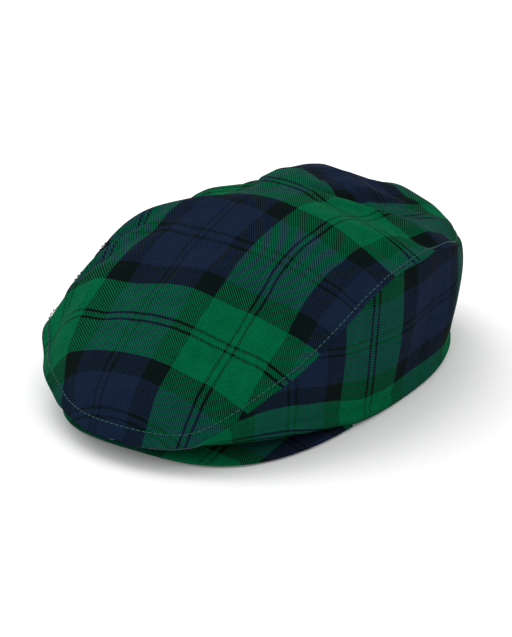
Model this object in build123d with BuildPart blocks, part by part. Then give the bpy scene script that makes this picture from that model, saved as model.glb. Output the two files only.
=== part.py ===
"""Tartan flat cap: one large top panel, two side panels, a covered brim, lining and sweatband.

Frame: +Z up, the peak points to -Y, the wearer's left is +X, and the hem stands on Z = 0.
The origin is the bottom centre of the cap's box.
"""
import math
import os

from build123d import *

# Overall size (mm)
HALF_LENGTH = 135.0  # front lip and back of the crown, each side of the origin
HALF_WIDTH = 91.0  # crown at its fullest
CROWN_HEIGHT = 96.0  # soft ridge of the top panel

# Head opening
HEM_HALF_WIDTH = 80.0
HEM_FRONT = -72.0
HEM_BACK = 125.0
BAND_HEIGHT = 30.0  # sweatband

# Layers
FABRIC = 1.6  # tartan twill with its interlining
LINING = 0.6
BAND = 1.2
LAYER_GAP = 0.15  # air between two layers of one body

# Brim
BRIM_RISE = 5.0  # arch of the underside, from the ends to the middle
BRIM_END_Y = -34.0  # where the brim's ends meet the hem
BRIM_FRONT = 6.0  # the brim's edge stands this far behind the lip
BRIM_INNER_INSET = 3.0  # the brim's inner edge is cut this far inside the hem's sides
COVER = 0.8
BOARD = 1.6
SEAM_ALLOWANCE = 2.5  # the covers stand this far past the board
BRIM_CLEARANCE = 0.4  # crown to brim
BAND_CLEARANCE = 2.0  # sweatband to the brim's inner edge

# Care label
LABEL_WIDTH = 28.0
LABEL_HEIGHT = 18.0
LABEL_THICKNESS = 0.4
LABEL_STANDOFF = 1.6  # a flat tab inside a curved band

TALL = 200.0  # longer than any cut
OPEN_BELOW = 4.0  # how far the hollow runs past the hem

# Level sections of the crown: height, front, back, half width, squareness of the front half
CROWN_LEVELS = [
    (0.0, -HALF_LENGTH + 4, HEM_BACK, HEM_HALF_WIDTH + 1, 2.3),
    (6.0, -HALF_LENGTH + 1, HALF_LENGTH - 7, HALF_WIDTH - 6, 2.3),
    (12.0, -HALF_LENGTH, HALF_LENGTH - 4, HALF_WIDTH - 3, 2.3),
    (20.0, -131.0, HALF_LENGTH - 1, HALF_WIDTH - 1, 2.5),
    (32.0, -122.0, HALF_LENGTH, HALF_WIDTH, 3.0),
    (45.0, -108.0, HALF_LENGTH, HALF_WIDTH, 3.8),
    (60.0, -83.0, HALF_LENGTH - 2, HALF_WIDTH - 1, 4.6),
    (68.0, -67.0, HALF_LENGTH - 9, HALF_WIDTH - 1, 4.8),
    (75.0, -52.0, HALF_LENGTH - 18, HALF_WIDTH - 3, 4.6),
    (81.0, -38.0, HALF_LENGTH - 28, HALF_WIDTH - 8, 4.2),
    (86.0, -25.0, HALF_LENGTH - 38, HALF_WIDTH - 18, 3.4),
    (90.0, -13.0, HALF_LENGTH - 49, HALF_WIDTH - 31, 2.8),
    (93.5, 0.0, HALF_LENGTH - 62, HALF_WIDTH - 48, 2.4),
    (CROWN_HEIGHT, 16.0, HALF_LENGTH - 80, HALF_WIDTH - 70, 2.2),
]
FULLEST_HEIGHT = 32.0  # the wall leans out up to here and in above it
BACK_POWER = 2.5  # squareness of the back half of a section; 2 is an ellipse
OVAL_POINTS = 28

# The seam round the top panel, seen from above: front, back, half width, squareness
SEAM_OVAL = (-133.0, 130.0, HALF_WIDTH - 5, 2.5)
# The top panel stays above this line, seen from the side: distance along the cap and height
TOP_PANEL_FLOOR = [(-120.0, 24.0), (-60.0, 40.0), (140.0, 40.0)]
LIP_WRAP = -120.0  # in front of this the top panel wraps down to the brim


def oval_sketch(height, front, back, half_width, front_power=2.2):
    """A filled oval on a level plane, its two halves joined at the middle of its length."""
    centre = (front + back) / 2
    reach = (back - front) / 2
    points = []
    for step in range(OVAL_POINTS):
        angle = 2 * math.pi * step / OVAL_POINTS
        across, along = math.sin(angle), -math.cos(angle)
        power = front_power if along < 0 else BACK_POWER
        radius = (abs(across / half_width) ** power + abs(along / reach) ** power) ** (-1 / power)
        points.append((radius * across, centre + radius * along))
    with BuildSketch(Plane.XY.offset(height)) as sketch:
        with BuildLine():
            Spline(*points, periodic=True)
        make_face()
    return sketch.sketch


def crown_body(inset, below=0.0):
    """The solid inside the crown, drawn in by an inset all over and let out below the hem."""
    with BuildPart() as body:
        for height, front, back, half_width, power in CROWN_LEVELS:
            level = height - inset * min(height / FULLEST_HEIGHT, 1)
            add(oval_sketch(level, front + inset, back - inset, half_width - inset, power))
        loft(ruled=True)
        if below:
            height, front, back, half_width, power = CROWN_LEVELS[0]
            add(oval_sketch(-below, front + inset, back - inset, half_width - inset, power))
            extrude(amount=below)
    return body.part


def top_block():
    """The space of the top panel: above its floor line inside the seam's oval, and the whole lip."""
    with BuildPart() as body:
        with BuildSketch(Plane.YZ.offset(-TALL / 2)):
            with BuildLine():
                Polyline(*TOP_PANEL_FLOOR, (TOP_PANEL_FLOOR[-1][0], TALL), (LIP_WRAP, TALL), close=True)
            make_face()
        extrude(amount=TALL)
        add(oval_sketch(0, *SEAM_OVAL))
        extrude(amount=TALL, mode=Mode.INTERSECT)
        with Locations((0, LIP_WRAP - TALL / 2, 0)):
            Box(TALL, TALL, TALL)
    return body.part


def brim_arch(lower, upper):
    """A long vault in front of the brim's ends, between two heights over the brim's underside."""
    half_span = HEM_HALF_WIDTH + 20
    ends = BRIM_RISE - BRIM_RISE * (half_span / HEM_HALF_WIDTH) ** 2
    with BuildPart() as body:
        with BuildSketch(Plane.XZ.offset(-BRIM_END_Y)):
            with BuildLine():
                low = ThreePointArc((-half_span, ends + lower), (0, BRIM_RISE + lower), (half_span, ends + lower))
                high = ThreePointArc((-half_span, ends + upper), (0, BRIM_RISE + upper), (half_span, ends + upper))
                Line(low @ 0, high @ 0)
                Line(low @ 1, high @ 1)
            make_face()
        extrude(amount=TALL)
    return body.part


def brim_layer(lower, upper, allowance):
    """One layer of the brim: the vault cut to the crescent, drawn in by a seam allowance."""
    with BuildPart() as layer:
        add(brim_arch(lower, upper))
        with BuildSketch(Plane.XY.offset(-TALL / 2)):
            add(oval_sketch(0, BRIM_FRONT + allowance - HALF_LENGTH, HEM_BACK, HEM_HALF_WIDTH - 1 - allowance, 2.3))
            add(
                oval_sketch(0, HEM_FRONT - allowance, HEM_BACK, HEM_HALF_WIDTH - BRIM_INNER_INSET),
                mode=Mode.SUBTRACT,
            )
            with Locations((0, BRIM_END_Y + TALL / 2 - allowance - BRIM_CLEARANCE)):
                Rectangle(TALL, TALL, mode=Mode.SUBTRACT)
        extrude(amount=TALL, mode=Mode.INTERSECT)
        split(bisect_by=Plane.XY, keep=Keep.TOP)
    return layer.part


def shell(inset, thickness):
    """One layer of the crown, hollow below and clear of the brim."""
    with BuildPart() as layer:
        add(crown_body(inset))
        split(bisect_by=Plane.XY, keep=Keep.TOP)
        add(crown_body(inset + thickness, OPEN_BELOW), mode=Mode.SUBTRACT)
        add(brim_space, mode=Mode.SUBTRACT)
    return layer.part


def side_piece(layer, side, lift):
    """The left or right half of a layer outside the top panel's space, lifted off the hem line."""
    with BuildPart() as piece:
        add(layer)
        add(top_space, mode=Mode.SUBTRACT)
        split(bisect_by=Plane.YZ.offset(side * LAYER_GAP / 2), keep=Keep.TOP if side > 0 else Keep.BOTTOM)
        split(bisect_by=Plane.XY.offset(lift), keep=Keep.TOP)
    return piece.part


brim_stack = 2 * COVER + BOARD + 2 * LAYER_GAP
brim_space = brim_arch(-TALL / 4, brim_stack + BRIM_CLEARANCE)
top_space = top_block()
outer_shell = shell(0, FABRIC)
lining_shell = shell(FABRIC + LAYER_GAP, LINING)

# Top panel and its lining: one sheet over the whole crown, above the seam
with BuildPart() as top_panel:
    add(outer_shell)
    add(top_space, mode=Mode.INTERSECT)
top_panel.part.label = "top_panel"

with BuildPart() as lining_top:
    add(lining_shell)
    add(top_space, mode=Mode.INTERSECT)
lining_top.part.label = "lining_top"

# Side panels and their linings: from the hem up to the seam, parted at the back
with BuildPart() as left_side_panel:
    add(side_piece(outer_shell, 1, 0))
left_side_panel.part.label = "left_side_panel"

with BuildPart() as right_side_panel:
    add(side_piece(outer_shell, -1, 0))
right_side_panel.part.label = "right_side_panel"

with BuildPart() as lining_left:
    add(side_piece(lining_shell, 1, FABRIC))
lining_left.part.label = "lining_left"

with BuildPart() as lining_right:
    add(side_piece(lining_shell, -1, FABRIC))
lining_right.part.label = "lining_right"

# Sweatband: an upright ring just inside the hem
band_front = HEM_FRONT + BAND_CLEARANCE
band_back = HEM_BACK - 2 * BAND_CLEARANCE
band_half = HEM_HALF_WIDTH - BRIM_INNER_INSET - BAND_CLEARANCE
with BuildPart() as sweatband:
    with BuildSketch(Plane.XY.offset(BRIM_CLEARANCE)):
        add(oval_sketch(0, band_front, band_back, band_half))
        add(oval_sketch(0, band_front + BAND, band_back - BAND, band_half - BAND), mode=Mode.SUBTRACT)
    extrude(amount=BAND_HEIGHT)
sweatband.part.label = "sweatband"

# Brim: a stiff board between two fabric covers
with BuildPart() as brim_under_cover:
    add(brim_layer(0, COVER, 0))
brim_under_cover.part.label = "brim_under_cover"

with BuildPart() as brim_board:
    add(brim_layer(COVER + LAYER_GAP, COVER + LAYER_GAP + BOARD, SEAM_ALLOWANCE))
brim_board.part.label = "brim_board"

with BuildPart() as brim_top_cover:
    add(brim_layer(brim_stack - COVER, brim_stack, 0))
brim_top_cover.part.label = "brim_top_cover"

# Care label: a small blank tab on the inside of the sweatband, at the back
with BuildPart() as care_label:
    with BuildSketch(Plane.XZ.offset(LABEL_STANDOFF + BAND - band_back)):
        with Locations((0, BAND_HEIGHT / 2)):
            RectangleRounded(LABEL_WIDTH, LABEL_HEIGHT, 1.5)
    extrude(amount=LABEL_THICKNESS)
care_label.part.label = "care_label"

os.makedirs("parts", exist_ok=True)
for piece in (
    top_panel, left_side_panel, right_side_panel, lining_top, lining_left, lining_right,
    sweatband, brim_under_cover, brim_board, brim_top_cover, care_label,
):
    export_step(piece.part, f"parts/{piece.part.label}.step")
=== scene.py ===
"""Tartan flat cap: cloth crown over a covered brim, with sweatband and lining.

Metres, +Z up, the brim towards -Y, the wearer's left +X, the hem on Z = 0.
"""

import math

import bmesh
import bpy
import numpy as np
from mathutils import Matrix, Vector


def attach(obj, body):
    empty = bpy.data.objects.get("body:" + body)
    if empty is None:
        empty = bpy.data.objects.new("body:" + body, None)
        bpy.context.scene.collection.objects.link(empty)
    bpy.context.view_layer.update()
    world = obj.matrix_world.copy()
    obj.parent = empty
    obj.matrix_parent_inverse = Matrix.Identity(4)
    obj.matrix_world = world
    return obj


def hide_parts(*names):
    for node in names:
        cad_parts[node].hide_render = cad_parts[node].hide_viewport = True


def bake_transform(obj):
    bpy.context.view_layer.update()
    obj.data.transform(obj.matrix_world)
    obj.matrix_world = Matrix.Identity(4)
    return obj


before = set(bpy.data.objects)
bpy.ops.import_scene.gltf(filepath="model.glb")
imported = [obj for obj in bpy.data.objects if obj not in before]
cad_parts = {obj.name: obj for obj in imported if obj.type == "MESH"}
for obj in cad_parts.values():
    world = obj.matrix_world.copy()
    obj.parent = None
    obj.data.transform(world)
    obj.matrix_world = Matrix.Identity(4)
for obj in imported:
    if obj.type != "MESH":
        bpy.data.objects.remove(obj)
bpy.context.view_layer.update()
MM = 0.001


# ---------------------------------------------------------------- small helpers
def smooth_curve(points):
    """A function through the given points that doesn't overshoot between them."""
    xs = np.array([p[0] for p in points], float)
    ys = np.array([p[1] for p in points], float)
    steps = np.diff(ys) / np.diff(xs)
    slopes = np.zeros(len(xs))
    slopes[0], slopes[-1] = steps[0], steps[-1]
    for i in range(1, len(xs) - 1):
        if steps[i - 1] * steps[i] > 0:
            slopes[i] = 2 * steps[i - 1] * steps[i] / (steps[i - 1] + steps[i])

    def value(x):
        x = np.clip(np.asarray(x, float), xs[0], xs[-1])
        i = np.clip(np.searchsorted(xs, x) - 1, 0, len(xs) - 2)
        h = xs[i + 1] - xs[i]
        t = (x - xs[i]) / h
        return (
            ys[i] * (1 + 2 * t) * (1 - t) ** 2
            + slopes[i] * h * t * (1 - t) ** 2
            + ys[i + 1] * t * t * (3 - 2 * t)
            + slopes[i + 1] * h * t * t * (t - 1)
        )

    return value


def bump(x, centre, width):
    """A soft hill of height 1."""
    return np.exp(-(((x - centre) / width) ** 2))


def ease(x, low, high):
    """0 below low, 1 above high, smooth between."""
    t = np.clip((x - low) / (high - low), 0, 1)
    return t * t * (3 - 2 * t)


# ---------------------------------------------------------------- shape of the cap, in millimetres
SEAM_HALF = 89.0
SEAM_FRONT, SEAM_BACK = -135.0, 128.0
SEAM_MIDDLE = 7.0
FRONT_POWER, REAR_POWER = 2.25, 2.25
HEM_HALF, HEM_FRONT, HEM_BACK = 80.5, -126.0, 117.0
HEM_FRONT_POWER, HEM_REAR_POWER = 2.3, 2.5

seam_height = smooth_curve([
    (-136, 12), (-124, 15), (-113, 24), (-98, 36), (-78, 48), (-56, 61), (-33, 73), (-8, 79),
    (17, 80), (42, 76), (67, 67), (97, 58), (130, 53),
])
ridge_height = smooth_curve([
    (-136, 12), (-129, 24), (-121, 34), (-108, 45), (-83, 60), (-58, 72), (-33, 82), (-8, 90),
    (17, 93), (42, 94), (67, 92), (92, 87), (108, 80), (120, 69), (130, 53),
])
hem_height = smooth_curve([(-136, 12), (-110, 12), (-80, 10), (-50, 6), (-30, 2), (0, 0.6), (130, 0.3)])


def oval(angle, front, back, middle, half, front_power, rear_power):
    """A point of a closed oval; angle 0 is the front, a quarter turn the wearer's left."""
    across, along = np.sin(angle), -np.cos(angle)
    ahead = along < 0
    power = np.where(ahead, front_power, rear_power)
    reach = np.where(ahead, middle - front, back - middle)
    radius = (np.abs(across / half) ** power + np.abs(along / reach) ** power) ** (-1 / power)
    return radius * across, middle + radius * along


def seam_half_width(y):
    """Half the width of the top panel at a place along the cap."""
    ahead = y < SEAM_MIDDLE
    power = np.where(ahead, FRONT_POWER, REAR_POWER)
    reach = np.where(ahead, SEAM_MIDDLE - SEAM_FRONT, SEAM_BACK - SEAM_MIDDLE)
    share = np.clip(1 - (np.abs(y - SEAM_MIDDLE) / reach) ** power, 1e-4, 1)
    return SEAM_HALF * share ** (1 / power)


def slump(x, y):
    """The cloth rolls over before the seam on the wearer's right side."""
    near_edge = np.clip((-x / seam_half_width(y) - 0.62) / 0.38, 0, 1)
    lean = 7.0 * ease(-x, 0, 75) * ease(y, -100, -30) * (1 - 0.6 * ease(y, 10, 80))
    return 17.0 * near_edge ** 2 * ease(y, -128, -90) + lean


def top_height(x, y):
    """Height of the top panel, without its small folds."""
    across = np.clip(np.abs(x) / seam_half_width(y), 0, 1)
    base = seam_height(y) + (ridge_height(y) - seam_height(y)) * (1 - across ** 2.3)
    return base - slump(x, y)


FOLDS = [
    # angle round the edge (degrees from the front, right side negative), width, depth, reach inwards
    (-36, 4.0, 2.0, 0.40),
    (-50, 4.0, 3.0, 0.50),
    (-66, 4.0, 4.0, 0.55),
    (-84, 4.5, 4.5, 0.60),
    (-104, 6.0, 4.5, 0.60),
    (-128, 8.0, 3.5, 0.55),
    (40, 4.0, 1.0, 0.25),
    (62, 4.0, 1.4, 0.30),
    (84, 4.5, 1.2, 0.30),
    (108, 6.0, 1.6, 0.35),
    (134, 7.0, 1.6, 0.35),
]


def fold_depth(angle, share):
    """Depth of the gathers that run in from the seam; share is 1 at the seam, 0 in the middle."""
    depth = np.zeros_like(angle)
    for place, width, deep, reach in FOLDS:
        turn = (np.degrees(angle) - place + 180) % 360 - 180
        depth = depth + deep * bump(turn, 0, width) * ease(share, 1 - reach, 0.98)
    return depth


def soft_ripple(x, y):
    """Slow unevenness of cloth that was stuffed and pressed."""
    return (
        0.9 * np.sin(x / 23 + 1.3) * np.sin(y / 31 + 0.4)
        + 0.6 * np.sin((x + y) / 17 + 2.0) * np.sin((x - 1.7 * y) / 29)
        + 0.35 * np.sin(x / 9 + y / 13) * np.sin(y / 11 - x / 19 + 1)
    )


def wide_crease(x, y):
    """Soft breaks across the panel: where the front slope meets the flat top, and halfway down the slope."""
    near = -6 + 0.12 * x
    far = -62 + 0.10 * x
    upper = 1.6 * bump(y, near, 9) - 1.4 * bump(y, near + 20, 12)
    return upper + 0.9 * bump(y, far, 8) - 0.9 * bump(y, far + 15, 9)


MEASURE_STEPS = 40


def fabric_coordinates(x, y, height):
    """Lengths along the cloth, across and lengthwise, from the middle of the top."""
    span = np.linspace(0, 1, MEASURE_STEPS)
    xs = x[:, None] * span
    zs = height(xs, np.repeat(y[:, None], MEASURE_STEPS, 1))
    u = np.sign(x) * np.hypot(np.diff(xs, axis=1), np.diff(zs, axis=1)).sum(1)
    ys = SEAM_MIDDLE + (y - SEAM_MIDDLE)[:, None] * span
    zs = height(np.repeat(x[:, None], MEASURE_STEPS, 1) * 0.6, ys)
    v = np.sign(y - SEAM_MIDDLE) * np.hypot(np.diff(ys, axis=1), np.diff(zs, axis=1)).sum(1)
    turn = 0.15 * ease(y, -70, 0)  # the check runs a little askew over the back of the crown
    return u - turn * (v + 60), v + turn * (u - 67)


def new_object(name, bm, material):
    """A finished mesh in the scene, smooth, with its material."""
    mesh = bpy.data.meshes.new(name)
    bm.to_mesh(mesh)
    bm.free()
    for face in mesh.polygons:
        face.use_smooth = True
    mesh.materials.append(material)
    obj = bpy.data.objects.new(name, mesh)
    bpy.context.scene.collection.objects.link(obj)
    return obj


def move_vertices(bm, places):
    """Gives each vertex its place, in millimetres."""
    for vert, place in zip(bm.verts, places):
        vert.co = Vector(place) * MM


UV_UNIT = 100  # millimetres of cloth to one unit of the UV map


def write_uv(bm, u, v):
    """The cloth's own lengths, given in millimetres, as its UV map."""
    layer = bm.loops.layers.uv.new("cloth")
    for face in bm.faces:
        for loop in face.loops:
            i = loop.vert.index
            loop[layer].uv = (u[i] / UV_UNIT, v[i] / UV_UNIT)


def ring_strip(steps_round, rows):
    """A cylinder of quads, its vertices carrying angle and row, by spinning one upright line."""
    bm = bmesh.new()
    line = [bm.verts.new((1, 0, row)) for row in range(rows + 1)]
    edges = [bm.edges.new(pair) for pair in zip(line, line[1:])]
    bmesh.ops.spin(
        bm, geom=line + edges, cent=(0, 0, 0), axis=(0, 0, 1), angle=2 * math.pi,
        steps=steps_round, use_merge=True,
    )
    bmesh.ops.remove_doubles(bm, verts=bm.verts, dist=1e-5)
    bm.verts.ensure_lookup_table()
    bm.verts.index_update()
    places = np.array([v.co for v in bm.verts])
    angle = np.arctan2(places[:, 0], -places[:, 1])
    return bm, angle, places[:, 2] / rows


def thicken(obj, thickness):
    """Gives a sheet its thickness inwards."""
    solid = obj.modifiers.new("thickness", "SOLIDIFY")
    solid.thickness = thickness
    solid.offset = -1.0
    solid.use_even_offset = True
    return obj


def face_out(bm, inside):
    """Turns every face away from a point in the hollow."""
    bmesh.ops.recalc_face_normals(bm, faces=bm.faces)
    total = sum((f.normal.dot(f.calc_center_median() - Vector(inside)) * f.calc_area() for f in bm.faces))
    if total < 0:
        bmesh.ops.reverse_faces(bm, faces=bm.faces)


# ---------------------------------------------------------------- materials
class Wire:
    """A shader socket that understands arithmetic."""

    def __init__(self, tree, socket):
        self.tree, self.socket = tree, socket

    def node(self, kind, settings=None, **inputs):
        made = self.tree.nodes.new(kind)
        for key, value in (settings or {}).items():
            setattr(made, key, value)
        for key, value in inputs.items():
            target = made.inputs[int(key[1:])] if key[0] == "i" and key[1:].isdigit() else made.inputs[key]
            if isinstance(value, Wire):
                self.tree.links.new(value.socket, target)
            else:
                target.default_value = value
        return made

    def maths(self, operation, *values):
        made = self.node("ShaderNodeMath", {"operation": operation}, **{f"i{i}": v for i, v in enumerate(values)})
        return Wire(self.tree, made.outputs[0])

    def __add__(self, other):
        return self.maths("ADD", self, other)

    def __sub__(self, other):
        return self.maths("SUBTRACT", self, other)

    def __rsub__(self, other):
        return self.maths("SUBTRACT", other, self)

    def __mul__(self, other):
        return self.maths("MULTIPLY", self, other)

    def __lt__(self, other):
        return self.maths("LESS_THAN", self, other)

    def __gt__(self, other):
        return self.maths("GREATER_THAN", self, other)

    __radd__, __rmul__ = __add__, __mul__

    def fold(self, half_period):
        return self.maths("PINGPONG", self, half_period)

    def sine(self):
        return self.maths("SINE", self)

    def between(self, low, high):
        made = self.node(
            "ShaderNodeMapRange", {"interpolation_type": "SMOOTHSTEP"},
            **{"i0": self, "i1": low, "i2": high, "i3": 0.0, "i4": 1.0},
        )
        return Wire(self.tree, made.outputs[0])

    def mix(self, first, second):
        made = self.node("ShaderNodeMix", {"data_type": "RGBA"}, **{"i0": self, "i6": first, "i7": second})
        return Wire(self.tree, made.outputs[2])


def new_material(name):
    material = bpy.data.materials.new(name)
    material.use_nodes = True
    tree = material.node_tree
    shader = tree.nodes["Principled BSDF"]
    return material, tree, shader


def noise(wire, place, scale, detail=2.0):
    made = wire.node("ShaderNodeTexNoise", {}, Vector=place, Scale=scale, Detail=detail)
    return Wire(wire.tree, made.outputs[0])


GREEN = (0.0, 0.082, 0.031, 1)
NAVY = (0.006, 0.012, 0.030, 1)
BLACK = (0.002, 0.005, 0.005, 1)
HALF_SETT = 53.0
GREEN_EDGE, BLACK_EDGE = 21.5, 33.0
LINE_PLACE, LINE_HALF = 2.1, 0.75
TWILL_PITCH = 1.5


def thread_colour(length, start):
    """The colour of one set of threads along a length of cloth in millimetres."""
    away = (length + (HALF_SETT * 20 - start)).fold(HALF_SETT)
    centre_line = (away - LINE_PLACE).maths("ABSOLUTE", away - LINE_PLACE) < LINE_HALF
    other = (HALF_SETT - away) - LINE_PLACE
    navy_line = other.maths("ABSOLUTE", other) < LINE_HALF
    ground = (away > GREEN_EDGE).mix(GREEN, BLACK)
    ground = (away > BLACK_EDGE).mix(ground, NAVY)
    lines = centre_line.maths("MAXIMUM", centre_line, navy_line)
    return lines.mix(ground, BLACK)


def tartan(name, across_start, along_start):
    """Brushed cotton twill in a dark check; the starts place a green centre on the piece."""
    material, tree, shader = new_material(name)
    uv = tree.nodes.new("ShaderNodeUVMap")
    uv.uv_map = "cloth"
    place = Wire(tree, uv.outputs[0])
    split = place.node("ShaderNodeSeparateXYZ", {}, Vector=place)
    across = Wire(tree, split.outputs[0]) * float(UV_UNIT)
    along = Wire(tree, split.outputs[1]) * float(UV_UNIT)
    wobble = (noise(place, place, 9.0) - 0.5) * 1.2
    warp = thread_colour(across + wobble, across_start)
    weft = thread_colour(along + wobble, along_start)
    diagonal = ((across + along) * (2 * math.pi / TWILL_PITCH)).sine()
    over = diagonal.between(-0.5, 0.2)
    cloth = over.mix(warp, weft)
    fuzz = noise(place, place, 130.0, 4.0)
    patches = noise(place, place, 14.0, 3.0)
    shade = (fuzz - 0.5) * 1.7 + (patches - 0.5) * 0.5 + 1.0
    scaled = place.node("ShaderNodeVectorMath", {"operation": "SCALE"}, i0=cloth, Scale=shade)
    tree.links.new(scaled.outputs[0], shader.inputs["Base Color"])
    shader.inputs["Roughness"].default_value = 0.92
    shader.inputs["Specular IOR Level"].default_value = 0.02
    height = over * 0.6 + fuzz * 0.7
    relief = place.node("ShaderNodeBump", {}, Strength=0.35, Distance=0.0004, Height=height)
    tree.links.new(relief.outputs[0], shader.inputs["Normal"])
    return material


def plain_cloth(name, colour, rib, roughness):
    """A one-colour cloth with a fine rib on object coordinates."""
    material, tree, shader = new_material(name)
    coordinates = tree.nodes.new("ShaderNodeTexCoord")
    place = Wire(tree, coordinates.outputs["Object"])
    split = place.node("ShaderNodeSeparateXYZ", {}, Vector=place)
    x, y, z = (Wire(tree, s) for s in split.outputs)
    ribs = ((x + y + z * 1.3) * (2 * math.pi / rib)).sine()
    grain = noise(place, place, 900.0)
    tint = (grain * 0.5 + ribs * 0.15 + 0.25).mix(tuple(0.7 * c for c in colour[:3]) + (1,), colour)
    tree.links.new(tint.socket, shader.inputs["Base Color"])
    shader.inputs["Roughness"].default_value = roughness
    relief = place.node("ShaderNodeBump", {}, Strength=0.3, Distance=0.0003, Height=ribs * 0.4 + grain)
    tree.links.new(relief.outputs[0], shader.inputs["Normal"])
    return material


top_cloth = tartan("top_panel_tartan", 38.0, -102.0)
side_cloth = tartan("side_panel_tartan", -33.0, -7.5)
brim_cloth = tartan("brim_tartan", 40.0, -20.0)
thread = plain_cloth("topstitch_thread_teal", (0.003, 0.065, 0.06, 1), 0.0006, 0.8)
lining_cloth = plain_cloth("lining_navy_satin", (0.02, 0.028, 0.06, 1), 0.0008, 0.4)
band_cloth = plain_cloth("sweatband_black_twill", (0.012, 0.012, 0.014, 1), 0.0012, 0.8)
label_cloth = plain_cloth("label_white_satin", (0.75, 0.75, 0.72, 1), 0.0006, 0.5)
board_plastic = plain_cloth("brim_board_natural_plastic", (0.8, 0.79, 0.74, 1), 0.002, 0.5)

# ---------------------------------------------------------------- top panel
HOLLOW = (0, 0.01, 0.03)
RIGHT_SPILL = 0.09
ROUND_STEPS = 288
TOP_STEPS, TOP_RINGS = 216, 52
CLOTH_THICK = 0.0012
LINING_THICK = 0.0005


def seam_point(angle):
    return oval(angle, SEAM_FRONT, SEAM_BACK, SEAM_MIDDLE, SEAM_HALF, FRONT_POWER, REAR_POWER)


def spill(x, y):
    """How far the stuffed cloth pushes out on the wearer's right side."""
    front_bulge = 1 + 1.0 * bump(y, -78, 26)
    return 1 + RIGHT_SPILL * front_bulge * ease(-x, 15, 75) * ease(y, -134, -105) * (1 - 0.6 * ease(y, -10, 60))


def top_places(angle, share):
    """Places on the top panel: share runs from the middle, 0, to the seam, 1."""
    edge_x, edge_y = seam_point(angle)
    x, y = edge_x * share, SEAM_MIDDLE + (edge_y - SEAM_MIDDLE) * share
    inner = 1 - ease(share, 0.86, 1.0)
    depth = fold_depth(angle, share)
    z = top_height(x, y) - depth * 0.8 + (soft_ripple(x, y) + wide_crease(x, y)) * inner
    pull = depth * 0.7 / 90
    return np.c_[x * (1 - pull) * spill(x, y), y - (y - SEAM_MIDDLE) * pull, z]


def disc(steps_round, rings):
    """A round sheet by spinning a spoke, its vertices carrying angle and share."""
    bm = bmesh.new()
    line = [bm.verts.new((ring / rings, 0, 0)) for ring in range(rings + 1)]
    edges = [bm.edges.new(pair) for pair in zip(line, line[1:])]
    bmesh.ops.spin(
        bm, geom=line + edges, cent=(0, 0, 0), axis=(0, 0, 1), angle=2 * math.pi,
        steps=steps_round, use_merge=True,
    )
    bmesh.ops.remove_doubles(bm, verts=bm.verts, dist=1e-5)
    bm.verts.ensure_lookup_table()
    bm.verts.index_update()
    places = np.array([v.co for v in bm.verts])
    return bm, np.arctan2(places[:, 0], -places[:, 1]), np.hypot(places[:, 0], places[:, 1])


def make_top(name, material):
    bm, angle, share = disc(TOP_STEPS, TOP_RINGS)
    move_vertices(bm, top_places(angle, share))
    edge_x, edge_y = seam_point(angle)
    u, v = fabric_coordinates(edge_x * share, SEAM_MIDDLE + (edge_y - SEAM_MIDDLE) * share, top_height)
    write_uv(bm, u, v)
    face_out(bm, HOLLOW)
    return new_object(name, bm, material)


SETTLE_FRAMES = 24


def settle_cloth(obj, pinned, growth, pressure, limit):
    """Lets a sheet that is a little too large for its frame buckle, stuffed from inside, and keeps the result."""
    mesh = obj.data
    start = np.array([v.co for v in mesh.vertices])
    group = obj.vertex_groups.new(name="pinned")
    group.add([int(i) for i in np.flatnonzero(pinned)], 1.0, "REPLACE")
    cloth = obj.modifiers.new("cloth", "CLOTH")
    settings = cloth.settings
    settings.quality = 6
    settings.mass = 0.25
    settings.tension_stiffness = 20
    settings.compression_stiffness = 20
    settings.shear_stiffness = 5
    settings.bending_stiffness = 0.6
    settings.vertex_group_mass = "pinned"
    settings.shrink_min = -growth
    settings.use_pressure = True
    settings.uniform_pressure_force = pressure
    settings.effector_weights.gravity = 0
    for step in range(1, SETTLE_FRAMES + 1):
        bpy.context.scene.frame_set(step)
    settled = obj.evaluated_get(bpy.context.evaluated_depsgraph_get()).to_mesh()
    end = np.array([v.co for v in settled.vertices])
    obj.modifiers.remove(cloth)
    obj.vertex_groups.remove(group)
    bpy.context.scene.frame_set(1)
    move = end - start
    far = np.linalg.norm(move, axis=1, keepdims=True)
    move *= np.minimum(1, limit / np.maximum(far, 1e-9))
    mesh.vertices.foreach_set("co", (start + move).ravel())
    mesh.update()


def press_gathers(obj):
    """Sharpens the gathers that the stuffing has rounded out."""
    bm, angle, share = disc(TOP_STEPS, TOP_RINGS)
    bm.free()
    depth = fold_depth(angle, share) * (1 - ease(share, 0.93, 0.99)) * 0.9 * MM
    normals = np.array([v.normal for v in obj.data.vertices])
    places = np.array([v.co for v in obj.data.vertices]) - normals * depth[:, None]
    obj.data.vertices.foreach_set("co", places.ravel())
    obj.data.update()


def calm(mesh, rounds):
    """Evens out tight kinks, which would otherwise throw normals astray; the rim stays."""
    bm = bmesh.new()
    bm.from_mesh(mesh)
    inner = [v for v in bm.verts if not v.is_boundary]
    for _ in range(rounds):
        bmesh.ops.smooth_vert(
            bm, verts=inner, factor=0.5, use_axis_x=True, use_axis_y=True, use_axis_z=True,
        )
    bm.to_mesh(mesh)
    bm.free()
    mesh.update()


PINNED_FROM = 0.955  # the share of the way to the seam from where the cloth is held
GROWTH, PRESSURE, FARTHEST_MOVE = 0.04, 4.5, 0.008
TOP_CALM, LINING_CALM = 3, 12
LINING_DEPTH = 0.0038

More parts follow.
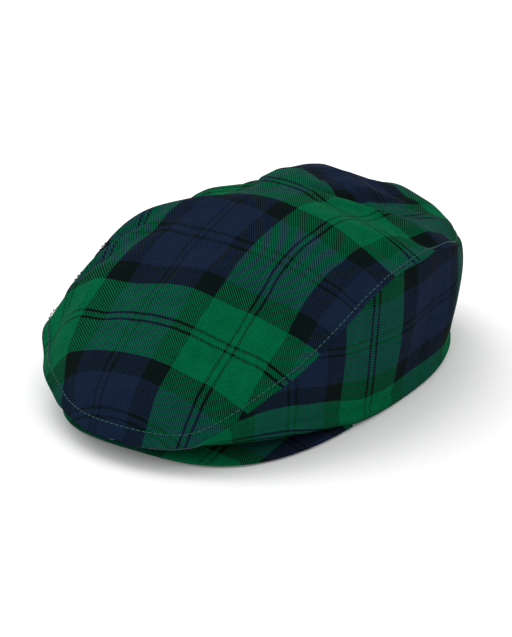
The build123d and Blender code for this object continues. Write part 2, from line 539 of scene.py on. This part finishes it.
top_panel = make_top("top_panel_cloth", top_cloth)
sheet, _, seam_share = disc(TOP_STEPS, TOP_RINGS)
sheet.free()
settle_cloth(top_panel, seam_share > PINNED_FROM, GROWTH, PRESSURE, FARTHEST_MOVE)
press_gathers(top_panel)
calm(top_panel.data, TOP_CALM)
top_sheet = top_panel.data.copy()
thicken(top_panel, CLOTH_THICK)
finer = top_panel.modifiers.new("finer", "SUBSURF")
finer.levels = finer.render_levels = 1
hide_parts("top_panel")
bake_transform(top_panel)

# ---------------------------------------------------------------- side panels
SIDE_ROWS, LINING_ROWS = 40, 20
LINING_INSET = 3.0


def hem_place(angle):
    return oval(angle, HEM_FRONT, HEM_BACK, SEAM_MIDDLE, HEM_HALF, HEM_FRONT_POWER, HEM_REAR_POWER)


def side_places(angle, share, inset):
    """Places on the side wall: share 0 at the seam, 1 at the hem's lowest line."""
    top = top_places(angle, np.ones_like(angle))
    hem_x, hem_y = hem_place(angle)
    low = np.c_[hem_x, hem_y, hem_height(hem_y)]
    place = top * (1 - share)[:, None] + low * share[:, None]
    out = np.c_[hem_x, hem_y - SEAM_MIDDLE, np.zeros_like(angle)]
    out /= np.linalg.norm(out, axis=1)[:, None]
    drop = top[:, 2] - low[:, 2]
    belly = (2.0 + 5.5 * ease(hem_y, 60, 125) + 4.0 * ease(-hem_x, 20, 80)) * np.sin(math.pi * share ** 0.8)
    belly = belly * ease(drop, 4, 40)
    crease = 1.3 * np.sin(np.degrees(angle) / 6.5 + share * 3) * np.sin(math.pi * share) * ease(drop, 10, 40)
    below = (1 - share) * drop
    roll = 1.4 * bump(below, 3.2, 2.6) - 0.7 * bump(below, 7.6, 1.3)
    tuck = 3.5 * ease(-hem_y, 112, 124)  # the nose of the panel goes in under the lip
    return place + out * (belly + crease + roll * ease(drop, 6, 16) - inset - tuck)[:, None]


def side_lengths(angle, share):
    """Cloth lengths on the wall: round the hem from the front, and up from the hem."""
    fine = np.linspace(-math.pi, math.pi, 1441)
    hem_x, hem_y = hem_place(fine)
    travel = np.r_[0, np.cumsum(np.hypot(np.diff(hem_x), np.diff(hem_y)))]
    travel -= np.interp(math.pi / 2, fine, travel)
    u = np.interp(angle, fine, travel)
    top = top_places(angle, np.ones_like(angle))
    v = (1 - share) * (top[:, 2] - 2) - 12 * ease(-hem_place(angle)[1], 30, 90)
    return u, v


def make_side(name, side, inset, material, rows):
    bm, angle, share = ring_strip(ROUND_STEPS, rows)
    angle_side = np.where(np.abs(np.abs(angle) - math.pi) < 1e-6, side * math.pi, angle)
    u, v = side_lengths(angle_side, share)
    move_vertices(bm, side_places(angle, share, inset))
    write_uv(bm, u * side, v)
    bmesh.ops.bisect_plane(
        bm, geom=bm.verts[:] + bm.edges[:] + bm.faces[:], plane_co=(side * 0.0001, 0, 0),
        plane_no=(-side, 0, 0), clear_outer=True,
    )
    face_out(bm, HOLLOW)
    return new_object(name, bm, material)


for side, word in ((1, "left"), (-1, "right")):
    panel = make_side(f"{word}_side_panel_cloth", side, 0.0, side_cloth, SIDE_ROWS)
    thicken(panel, CLOTH_THICK)
    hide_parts(f"{word}_side_panel")
    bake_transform(panel)

# ---------------------------------------------------------------- topstitching
STITCH, STITCH_PITCH = 2.3, 3.1
STITCH_RADIUS = 0.32
STITCH_FROM_SEAM = 3.2


def stitch_row(name, places, normals, material):
    """A row of separate stitches along a line of places, each a short thread that dips at its ends."""
    travel = np.r_[0, np.cumsum(np.linalg.norm(np.diff(places, axis=0), axis=1))]
    bm = bmesh.new()
    for i in range(int(travel[-1] / STITCH_PITCH)):
        at = [i * STITCH_PITCH + STITCH * k / 4 for k in range(5)]
        spots = np.array([[np.interp(a, travel, places[:, c]) for c in range(3)] for a in at])
        out = np.array([np.interp(at[2], travel, normals[:, c]) for c in range(3)])
        out = Vector(out).normalized()
        along = Vector(spots[4] - spots[0]).normalized()
        side = along.cross(out).normalized()
        rings = []
        for spot, lift, fat in zip(spots, (-0.25, 0.12, 0.2, 0.12, -0.25), (0.7, 1, 1, 1, 0.7)):
            ring = bmesh.ops.create_circle(bm, segments=6, radius=STITCH_RADIUS * fat * MM)["verts"]
            centre = (Vector(spot) + out * lift) * MM
            for vert in ring:
                vert.co = centre + side * vert.co.x + out * vert.co.y
            rings.append(ring)
        for first, second in zip(rings, rings[1:]):
            around = list(zip(first, first[1:] + first[:1], second[1:] + second[:1], second))
            for quad in around:
                bm.faces.new(quad)
        bm.faces.new(rings[0][::-1])
        bm.faces.new(rings[-1])
    bmesh.ops.recalc_face_normals(bm, faces=bm.faces)
    return new_object(name, bm, material)


fine_angle = np.linspace(-math.pi, math.pi, 900)
stitch_share = 1 - STITCH_FROM_SEAM / np.hypot(*seam_point(fine_angle))
stitch_line = top_places(fine_angle, stitch_share)
stitch_inner = top_places(fine_angle, stitch_share - 0.01)
tangent = np.gradient(stitch_line, axis=0)
outward = np.cross(stitch_line - stitch_inner, tangent)
outward *= np.sign(outward[:, 2] + 1e-9)[:, None]
outward /= np.linalg.norm(outward, axis=1)[:, None]
topstitch = stitch_row("topstitching", stitch_line + outward * 0.15, outward, thread)
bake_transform(topstitch)

# ---------------------------------------------------------------- lining
lining_mesh = top_sheet.copy()
lining_mesh.materials.clear()
lining_mesh.materials.append(lining_cloth)
calm(lining_mesh, LINING_CALM)
for vert, normal in zip(lining_mesh.vertices, [v.normal.copy() for v in lining_mesh.vertices]):
    vert.co -= normal * LINING_DEPTH
lining_top = bpy.data.objects.new("lining_top_cloth", lining_mesh)
bpy.context.scene.collection.objects.link(lining_top)
thicken(lining_top, LINING_THICK)
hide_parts("lining_top")
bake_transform(lining_top)
for side, word in ((1, "left"), (-1, "right")):
    piece = make_side(f"lining_{word}_cloth", side, LINING_INSET, lining_cloth, LINING_ROWS)
    thicken(piece, LINING_THICK)
    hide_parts(f"lining_{word}")
    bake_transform(piece)

# ---------------------------------------------------------------- sweatband
BAND_HALF, BAND_FRONT, BAND_BACK = 76.0, -70.0, 119.0
BAND_MIDDLE = 24.5
BAND_FRONT_POWER, BAND_REAR_POWER = 2.2, 2.3
BAND_TOP = 31.0
BAND_THICK = 1.2


def band_places(angle, share):
    """The sweatband stands inside the hem, leaning in a little at its free upper edge."""
    lean = 1.8 * share ** 2 - 1.6 * bump(share, 0.0, 0.12)
    x, y = oval(
        angle, BAND_FRONT + 1.0, BAND_BACK - 1.0, BAND_MIDDLE, BAND_HALF, BAND_FRONT_POWER, BAND_REAR_POWER
    )
    out = np.c_[x, y - BAND_MIDDLE]
    out /= np.linalg.norm(out, axis=1)[:, None]
    wave = 0.5 * np.sin(angle * 9) * share
    low = 0.8 + 9.0 * ease(-y, 30, 66)
    return np.c_[x - out[:, 0] * (lean + wave), y - out[:, 1] * (lean + wave), low + (BAND_TOP - low) * share]


bm, angle, share = ring_strip(192, 16)
move_vertices(bm, band_places(angle, share))
face_out(bm, HOLLOW)
band = thicken(new_object("sweatband_cloth", bm, band_cloth), BAND_THICK * MM)
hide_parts("sweatband")
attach(band, "crown")

# ---------------------------------------------------------------- brim
BRIM_FRONT_Y, BRIM_HALF, BRIM_POWER = -121.0, 79.0, 3.0
BRIM_END = -36.0
BRIM_RISE, BRIM_EDGE_HEIGHT = 5.0, 1.4


def crescent(name, dome, draw_in, material):
    """One layer of the brim: a ring bent to the brim's arch and cut off at the brim's ends."""
    bm, angle, share = ring_strip(288, 16)
    outer_x, outer_y = oval(
        angle, BRIM_FRONT_Y + draw_in, HEM_BACK, SEAM_MIDDLE, BRIM_HALF - draw_in, BRIM_POWER, 2.2
    )
    inner_x, inner_y = oval(
        angle, BAND_FRONT - 2 - draw_in, BAND_BACK + 3, BAND_MIDDLE, BAND_HALF + 1.5 + draw_in,
        BAND_FRONT_POWER, BAND_REAR_POWER,
    )
    x = outer_x * share + inner_x * (1 - share)
    y = outer_y * share + inner_y * (1 - share)
    arch = BRIM_RISE * (1 - (x / 80) ** 2) * (1 - 0.75 * share ** 3)
    z = np.maximum(BRIM_EDGE_HEIGHT + arch + dome * np.sin(math.pi * share) ** 0.5, 0.3)
    move_vertices(bm, np.c_[x, y, z])
    write_uv(bm, x, y)
    bmesh.ops.bisect_plane(
        bm, geom=bm.verts[:] + bm.edges[:] + bm.faces[:], plane_co=(0, (BRIM_END - draw_in) * MM, 0),
        plane_no=(0, 1, 0), clear_outer=True,
    )
    bmesh.ops.recalc_face_normals(bm, faces=bm.faces)
    rising = sum(f.normal.z * f.calc_area() for f in bm.faces)
    if (rising > 0) != (dome >= 0):
        bmesh.ops.reverse_faces(bm, faces=bm.faces)
    return new_object(name, bm, material)


for name, node, dome, draw_in, thick, material, slot_name in (
    ("brim_under_cover_cloth", "brim_under_cover", -1.1, 0.0, 0.7, brim_cloth, "tartan"),
    ("brim_top_cover_cloth", "brim_top_cover", 1.7, 0.0, 0.7, brim_cloth, "tartan"),
    ("brim_board_sheet", "brim_board", 0.75, 3.5, 1.0, board_plastic, "brim_board"),
):
    layer = thicken(crescent(name, dome, draw_in, material), thick * MM)
    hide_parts(node)
    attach(layer, "brim")

label_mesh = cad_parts["care_label"].data
label_mesh.materials.clear()
label_mesh.materials.append(label_cloth)

# ---------------------------------------------------------------- camera, light, floor
TARGET = Vector((0, 0.007, 0.045))
AZIMUTH, ELEVATION = math.radians(33.5), math.radians(23)
DISTANCE, FOCAL_LENGTH = 1.3, 138.1
WORLD_STRENGTH = 1.08
toward = Vector((
    math.sin(AZIMUTH) * math.cos(ELEVATION), -math.cos(AZIMUTH) * math.cos(ELEVATION), math.sin(ELEVATION)
))
right = Vector((math.cos(AZIMUTH), math.sin(AZIMUTH), 0))
up = toward.cross(right)
aim = TARGET - right * 0.0081 - up * 0.0159
camera_data = bpy.data.cameras.new("camera")
camera_data.lens = FOCAL_LENGTH
camera_data.sensor_width = 36
camera = bpy.data.objects.new("camera", camera_data)
camera.location = aim + toward * DISTANCE
camera.rotation_euler = (-toward).to_track_quat("-Z", "Y").to_euler()
bpy.context.scene.collection.objects.link(camera)
bpy.context.scene.camera = camera

floor_bm = bmesh.new()
bmesh.ops.create_grid(floor_bm, x_segments=1, y_segments=1, size=4)
floor_material, floor_tree, floor_shader = new_material("studio_floor")
floor_shader.inputs["Base Color"].default_value = (0.9, 0.9, 0.9, 1)
floor_shader.inputs["Roughness"].default_value = 0.9
floor = new_object("studio_floor", floor_bm, floor_material)

world = bpy.data.worlds.new("studio")
bpy.context.scene.world = world
world.use_nodes = True
world.node_tree.nodes["Background"].inputs[0].default_value = (1, 1, 1, 1)
world.node_tree.nodes["Background"].inputs[1].default_value = WORLD_STRENGTH


def soft_light(name, place, size, power):
    data = bpy.data.lights.new(name, "AREA")
    data.size = size
    data.energy = power
    lamp = bpy.data.objects.new(name, data)
    lamp.location = place
    lamp.rotation_euler = (Vector((0, 0, 0.04)) - Vector(place)).to_track_quat("-Z", "Y").to_euler()
    bpy.context.scene.collection.objects.link(lamp)


soft_light("key", (-0.7, 0.1, 1.5), 1.2, 9)
soft_light("fill", (1.1, -1.2, 0.9), 1.2, 2)
bpy.context.scene.view_settings.view_transform = "Standard"
